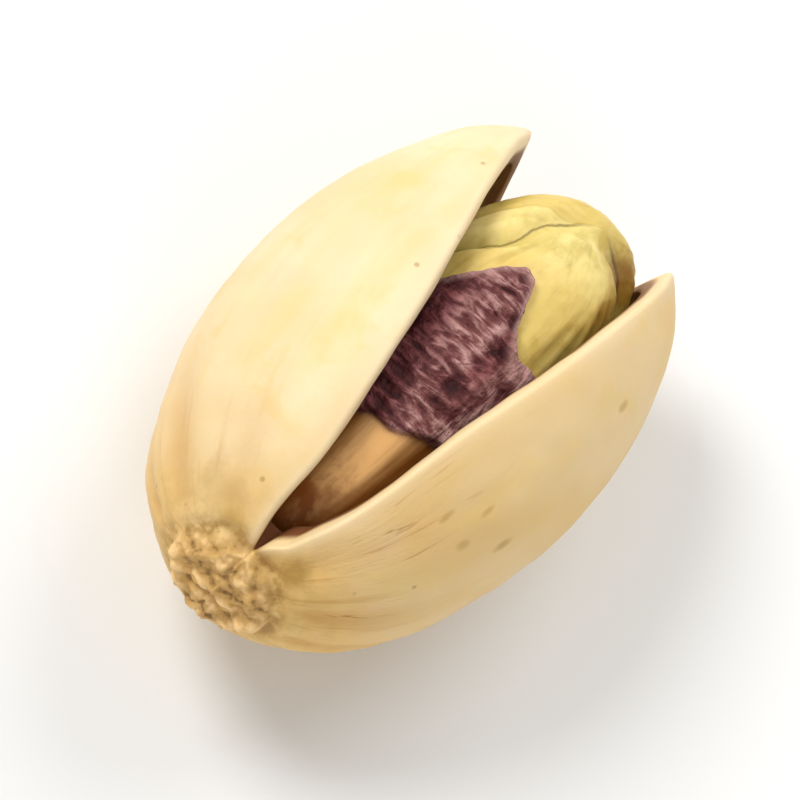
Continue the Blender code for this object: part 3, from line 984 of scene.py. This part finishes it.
def kernel_material(settings):
    """Waxy yellow-green seed leaves, greener at their edges and dark in the crease, with painted shade
    in the hollows between wrinkles and brown patches, partly painted shade, where the kernel meets the
    right valve's rim.
    """
    paint = Paint("kernel_flesh", Subsurface_Weight=0.25, Subsurface_Scale=1.2 * MM)
    paint.shader.inputs["Subsurface Radius"].default_value = (1.0, 0.8, 0.25)
    place = paint.place()
    u, v, above, creased, height = paint.painted("u", "v", "above", "creased", "height")
    mottled = paint.noise(place, 1.7 * MM, distortion=0.6)
    small = paint.noise(place, 0.5 * MM)
    grain = paint.noise(paint.vector(u * 3.0, v * 14.0, 1.0))
    flank = v.between(2.0, 2.7)
    green = mottled.between(0.45, 0.75) * 0.6 + small.between(0.5, 0.8) * 0.25 + flank * 0.15
    colour = paint.mix(green, settings.pale, settings.green)
    far_leaf = above.between(0.0, 0.25) * u.between(2.7, 2.2)
    colour = paint.mix(far_leaf * 0.55 + v.between(2.25, 2.75) * 0.5, colour, settings.ochre)
    # Painted shade in the hollows between wrinkles, then a darker tint along the fine lengthwise grain.
    colour = paint.tint(height.between(0.1, -1.0) * 0.4, colour, settings.hollow_shade_and_grain)
    colour = paint.tint(grain.between(0.58, 0.75) * 0.35, colour, settings.hollow_shade_and_grain)
    wavering = above + (small - 0.5) * 0.03
    beside = wavering.between(0.10, 0.0) * wavering.between(-0.16, 0.0)
    line = wavering.between(0.018, 0.004) * wavering.between(-0.018, -0.004)
    colour = paint.mix(beside * creased * (u.between(2.5, 2.1) * 0.4 + 0.35), colour, settings.green)
    colour = paint.mix(line * creased * 0.85, colour, settings.crease)
    # Brown patches where the kernel meets the right valve's rim, partly stain and partly painted shade
    # between the parts.
    for *where, strength in KERNEL_MARKS:
        colour = paint.tint(paint.smudge(place, *where) * strength, colour, settings.rim_stain_and_shade)
    specks = paint.spots(place, 0.9 * MM, 0.2, 0.10)
    colour = paint.mix(specks * 0.5, colour, settings.crease)
    roughness = 0.40 + small * 0.15
    return paint.finish(colour, roughness, grain * 0.5 + small * 0.5, KERNEL_BUMP)


def skin_material(settings):
    """Papery purple-brown skin, smooth and golden at its base, with painted pinkish highlights on its
    crests, torn edge and golden middle, and painted shade in its folds, along the rims, on the golden
    flanks and near the scar.
    """
    paint = Paint("skin_papery", Specular_IOR_Level=0.20, Coat_Roughness=0.22)
    place = paint.place()
    u, v, golden, height, torn = paint.painted("u", "v", "golden", "height", "torn")
    mottled = paint.noise(place, 1.3 * MM, distortion=0.4)
    small = paint.noise(place, 0.25 * MM)
    threads = paint.noise(paint.vector(u * 2.5, v * 13.0, 4.0), distortion=0.3)
    across = paint.noise(paint.vector(u * 22.0, v * 3.6, 2.0), distortion=0.7)
    along = paint.noise(paint.vector(u * 5.0, v * 11.0, 7.0), distortion=0.7)
    middle = v.between(0.95, 1.35) * v.between(2.15, 1.75)
    raised = height * 0.45 + (along + (across - along) * middle - 0.5) * 4.0 + (small - 0.5) * 0.8
    # Painted shade in the crumples' hollows and painted pinkish highlights on their crests, over the
    # purple-brown.
    colour = paint.mix(raised.between(-0.9, 0.1), settings.fold_shade, settings.purple)
    colour = paint.mix(raised.between(-0.1, 1.0) * 0.9, colour, settings.ridge_highlight)
    colour = paint.tint(mottled.between(0.45, 0.75) * 0.5, colour, settings.bruise_and_shade)
    # Painted shade along both rims and in a fold near the right rim, in the tint of the darker patches.
    left_rim_shade = (v + u * 0.56 - 2.05).between(0.45, 0.05)
    fold_line_shade = v.between(1.66, 1.78) * v.between(2.02, 1.88) * u.between(1.25, 1.45)
    right_rim_shade = v.between(2.15, 2.45)
    margin_shade = left_rim_shade * 1.1 + fold_line_shade * mottled.between(0.25, 0.5) * 0.9 + right_rim_shade * 0.6
    colour = paint.tint(margin_shade, colour, settings.bruise_and_shade)
    # Painted highlight along the torn edge.
    colour = paint.mix(torn * 0.5, colour, settings.ridge_highlight)
    # A painted highlight down the middle of the golden end, painted shade on its flanks and near the
    # scar, and darker blotches.
    gold_highlight = v.between(1.34, 1.62) * v.between(2.02, 1.74)
    gold = paint.mix(gold_highlight + (threads - 0.5) * 0.9, settings.golden_flank_shade, settings.golden)
    patchy = mottled.between(0.40, 0.62) * u.between(1.10, 0.85) * 0.45
    gold = paint.mix(u.between(0.98, 0.50) * 0.9 + patchy, gold, settings.golden_end_shade_and_blotch)
    colour = paint.mix(golden, colour, gold)
    paint.feed(paint.shader.inputs["Coat Weight"], golden * u.between(0.60, 1.05) * 0.45)
    roughness = 0.55 - golden * 0.20 + small * 0.1
    relief = (small * 0.5 + raised * 0.5) * (1 - golden) + threads * 0.08
    return paint.finish(colour, roughness, relief, SKIN_BUMP)


def tone(name, description, default):
    """A colour that a user may change."""
    return FloatVectorProperty(
        name=name, description=description, default=default, size=3, min=0, max=1, subtype="COLOR"
    )


def length_property(name, description, default, most):
    """A length that a user may change."""
    return FloatProperty(
        name=name, description=description, default=default, min=0, max=most, precision=6, unit="LENGTH"
    )


def angle_property(name, description, degrees):
    """An angle of the camera that a user may change."""
    return FloatProperty(
        name=name, description=description, default=math.radians(degrees), subtype="ANGLE"
    )


class PistachioShell(bpy.types.PropertyGroup):
    """Sizes and colours of the shell."""

    rim_radius: length_property("Rim Radius", "Rounding of the rims' outer edge", 0.26 * MM, MM)
    cream: tone("Cream", "Pale ivory of the smooth walls", (0.86, 0.69, 0.42))
    # On the belly and the right valve this ochre is partly painted shade.
    ochre: tone("Ochre", "Warmer tan of the base and the belly", (0.79, 0.50, 0.16))
    blotch: tone("Blotch", "Faint yellow patches", (0.80, 0.57, 0.19))
    blush: tone("Blush", "Faint pinkish patches", (0.80, 0.58, 0.38))
    # Tint of the streaks, and also the painted shade in the grooves.
    streak_and_groove_shade: tone("Streak", "Tint of the streaks and grooves", (0.78, 0.62, 0.40))
    line: tone("Line", "Tint of the fine brown lines", (0.55, 0.36, 0.16))
    speck: tone("Speck", "Small brown marks", (0.40, 0.21, 0.06))
    stain: tone("Stain", "Olive-brown of the stains", (0.47, 0.265, 0.045))
    # Partly an olive stain round the scar and partly painted shade in its groove.
    moat: tone("Moat", "Tint of the dark line round the scar", (0.46, 0.32, 0.07))
    # Painted shade in the scar's pits.
    scar_pit_shade: tone("Scar Pits", "Pits of the scar", (0.26, 0.13, 0.03))
    scar_mid: tone("Scar", "Flanks of the scar's lumps", (0.58, 0.34, 0.10))
    # Painted highlights on the scar's lumps.
    scar_lump_highlight: tone("Scar Lumps", "Lumps of the scar", (0.86, 0.57, 0.25))
    # The valves' paler edge, which also carries a painted highlight.
    rim: tone("Rim", "Bright edge of the valves", (0.88, 0.70, 0.44))
    # Darker than the inner face's own pale tan, as painted shade.
    inside: tone("Inside", "Inner face of the shell", (0.40, 0.23, 0.10))
    inside_dark: tone("Inside Streaks", "Streaks of the inner face", (0.20, 0.095, 0.035))
    # Painted shade on the inner face near the scar, where the seam narrows into its V.
    inside_deep_shade: tone("Deep Inside", "Dark inner face near the scar", (0.160, 0.042, 0.005))


class PistachioKernel(bpy.types.PropertyGroup):
    """Sizes and colours of the kernel."""

    wrinkle: length_property("Wrinkle", "Height of the fine lengthwise wrinkles", KERNEL_WRINKLE, MM)
    pale: tone("Pale", "Pale yellow of the seed leaves", (0.88, 0.70, 0.25))
    green: tone("Green", "Green of their edges and patches", (0.50, 0.38, 0.06))
    # Painted shade in the hollows between wrinkles, and the tint of the fine grain.
    hollow_shade_and_grain: tone("Hollow", "Tint of the hollows between wrinkles", (0.62, 0.60, 0.36))
    crease: tone("Crease", "Crease between the seed leaves", (0.24, 0.17, 0.03))
    # Brown patches where the kernel meets the right valve's rim, partly stain and partly painted shade.
    rim_stain_and_shade: tone("Remnant", "Tint of the patches by the shell's edge", (0.44, 0.28, 0.06))
    ochre: tone("Ochre", "Ochre of the far leaf and the lower edges", (0.66, 0.44, 0.08))


class PistachioSkin(bpy.types.PropertyGroup):
    """Sizes and colours of the skin."""

    wrinkle: length_property("Wrinkle", "Height of the crumples", 0.11 * MM, MM)
    purple: tone("Purple", "Purple-brown of the skin", (0.17, 0.050, 0.048))
    # Painted shade in the hollows of the crumples.
    fold_shade: tone("Fold", "Dark maroon of the folds", (0.045, 0.007, 0.008))
    # Painted pinkish highlights on the crests of the crumples and along the torn edge.
    ridge_highlight: tone("Ridge", "Pinkish crests of the crumples", (0.64, 0.37, 0.33))
    # Darker patches, and painted shade along both rims and in a fold near the right rim.
    bruise_and_shade: tone("Bruise", "Tint of the darker patches", (0.38, 0.17, 0.20))
    # Golden brown of the smooth end, also its painted highlight.
    golden: tone("Golden", "Golden brown of the smooth end", (0.90, 0.50, 0.18))
    # Painted shade on the flanks of the smooth end.
    golden_flank_shade: tone("Deep Golden", "Darker flanks of the smooth end", (0.20, 0.062, 0.008))
    # Painted shade near the scar's end, and darker blotches.
    golden_end_shade_and_blotch: tone("Dark Golden", "Dark reddish end near the scar", (0.26, 0.075, 0.009))


class PistachioStage(bpy.types.PropertyGroup):
    """Angles of the camera and colour of the floor."""

    azimuth: angle_property("Azimuth", "Turn of the camera round the nut", -90)
    elevation: angle_property("Elevation", "Height of the camera above the floor, as an angle", 70)
    roll: angle_property("Roll", "Turn of the picture", 44.5)
    field: length_property("Field", "Width of what the camera sees at the nut", 29 * MM, 1.0)
    floor: tone("Floor", "Colour of the floor", (0.86, 0.86, 0.85))


class PISTACHIO_OT_shell(bpy.types.Operator):
    """Build the shell and paint it"""

    bl_idname = "pistachio.shell"
    bl_label = "Shell"

    def execute(self, context):
        settings = context.scene.pistachio_shell
        piece = shell_points(settings.rim_radius).piece("nut_shell", shell_material(settings))
        lay_down(piece)
        fit_to_solid(piece, "shell")
        hand_over(piece, "shell")
        return {"FINISHED"}


class PISTACHIO_OT_kernel(bpy.types.Operator):
    """Build the kernel and paint it"""

    bl_idname = "pistachio.kernel"
    bl_label = "Kernel"

    def execute(self, context):
        settings = context.scene.pistachio_kernel
        piece = kernel_points(settings.wrinkle).piece("nut_kernel", kernel_material(settings))
        lay_down(piece)
        hand_over(piece, "kernel")
        return {"FINISHED"}


class PISTACHIO_OT_skin(bpy.types.Operator):
    """Build the torn skin and paint it"""

    bl_idname = "pistachio.skin"
    bl_label = "Skin"

    def execute(self, context):
        settings = context.scene.pistachio_skin
        piece = skin_points(settings.wrinkle).piece("nut_skin", skin_material(settings))
        lay_down(piece)
        hand_over(piece, "skin")
        return {"FINISHED"}


def look(place, target, roll=0.0):
    """Rotation that points an object's -Z from a place to a target, with a roll about the view."""
    turn = (target - place).to_track_quat("-Z", "Y").to_matrix() @ Matrix.Rotation(roll, 3, "Z")
    return turn.to_euler()


def add_light(name, place, size, power):
    """A soft round light that faces the nut."""
    data = bpy.data.lights.new(name, "AREA")
    data.shape = "DISK"
    data.size = size
    data.energy = power
    light = put_in_scene(name, data)
    light.location = place
    light.rotation_euler = look(place, CAMERA_AIM)


def add_camera(settings):
    """A long lens that looks down on the nut as the nut lies in the picture."""
    azimuth, elevation = settings.azimuth, settings.elevation
    level = math.cos(elevation)
    back = Vector((math.sin(azimuth) * level, -math.cos(azimuth) * level, math.sin(elevation)))
    data = bpy.data.cameras.new("camera")
    data.lens = data.sensor_width * CAMERA_DISTANCE / settings.field
    data.clip_start = 0.01
    camera = put_in_scene("camera", data)
    camera.location = CAMERA_AIM + back * CAMERA_DISTANCE
    camera.rotation_euler = look(camera.location, CAMERA_AIM, settings.roll)
    bpy.context.scene.camera = camera


def add_floor(colour):
    """A wide pale floor at z = 0."""
    paint = Paint("floor")
    cloudy = paint.noise(paint.place(), FLOOR_CLOUDS, 2.0, 0.5)
    shade = paint.mix(cloudy.between(0.2, 0.8) * 0.03, colour, FLOOR_SHADE)
    material = paint.finish(shade, 0.6 + cloudy * 0.1)
    half = FLOOR_SIZE / 2
    mesh = bpy.data.meshes.new("floor")
    corners = [(-half, -half, 0), (half, -half, 0), (half, half, 0), (-half, half, 0)]
    mesh.from_pydata(corners, [], [(0, 1, 2, 3)])
    mesh.materials.append(material)
    floor = put_in_scene("floor", mesh)


class PISTACHIO_OT_stage(bpy.types.Operator):
    """Set up the floor, the lights and the camera"""

    bl_idname = "pistachio.stage"
    bl_label = "Stage"

    def execute(self, context):
        settings = context.scene.pistachio_stage
        world = bpy.data.worlds.new("studio")
        world.use_nodes = True
        background = world.node_tree.nodes["Background"]
        background.inputs["Color"].default_value = (1, 1, 1, 1)
        background.inputs["Strength"].default_value = WORLD_BRIGHTNESS
        context.scene.world = world
        context.scene.view_settings.view_transform = "Standard"
        add_floor(settings.floor)
        for name, light in LIGHTS.items():
            add_light(name, *light)
        add_camera(settings)
        return {"FINISHED"}


class PISTACHIO_PT_panel(bpy.types.Panel):
    """The nut's settings and buttons"""

    bl_idname = "PISTACHIO_PT_panel"
    bl_label = "Pistachio in Shell"
    bl_space_type = "VIEW_3D"
    bl_region_type = "UI"
    bl_category = "Pistachio"

    def draw(self, context):
        for group in GROUPS:
            box = self.layout.box()
            settings = getattr(context.scene, group)
            for name in settings.__annotations__:
                box.prop(settings, name)
            box.operator(group.replace("_", "."))


GROUPS = {
    "pistachio_shell": PistachioShell,
    "pistachio_kernel": PistachioKernel,
    "pistachio_skin": PistachioSkin,
    "pistachio_stage": PistachioStage,
}
CLASSES = (
    *GROUPS.values(),
    PISTACHIO_OT_shell,
    PISTACHIO_OT_kernel,
    PISTACHIO_OT_skin,
    PISTACHIO_OT_stage,
    PISTACHIO_PT_panel,
)


def register():
    for kind in CLASSES:
        bpy.utils.register_class(kind)
    for name, kind in GROUPS.items():
        setattr(bpy.types.Scene, name, PointerProperty(type=kind))


def unregister():
    for name in GROUPS:
        delattr(bpy.types.Scene, name)
    for kind in reversed(CLASSES):
        bpy.utils.unregister_class(kind)


def main():
    """Build the nut and its stage."""
    register()
    bpy.ops.pistachio.shell()
    bpy.ops.pistachio.kernel()
    bpy.ops.pistachio.skin()
    bpy.ops.pistachio.stage()


if __name__ == "__main__":
    main()
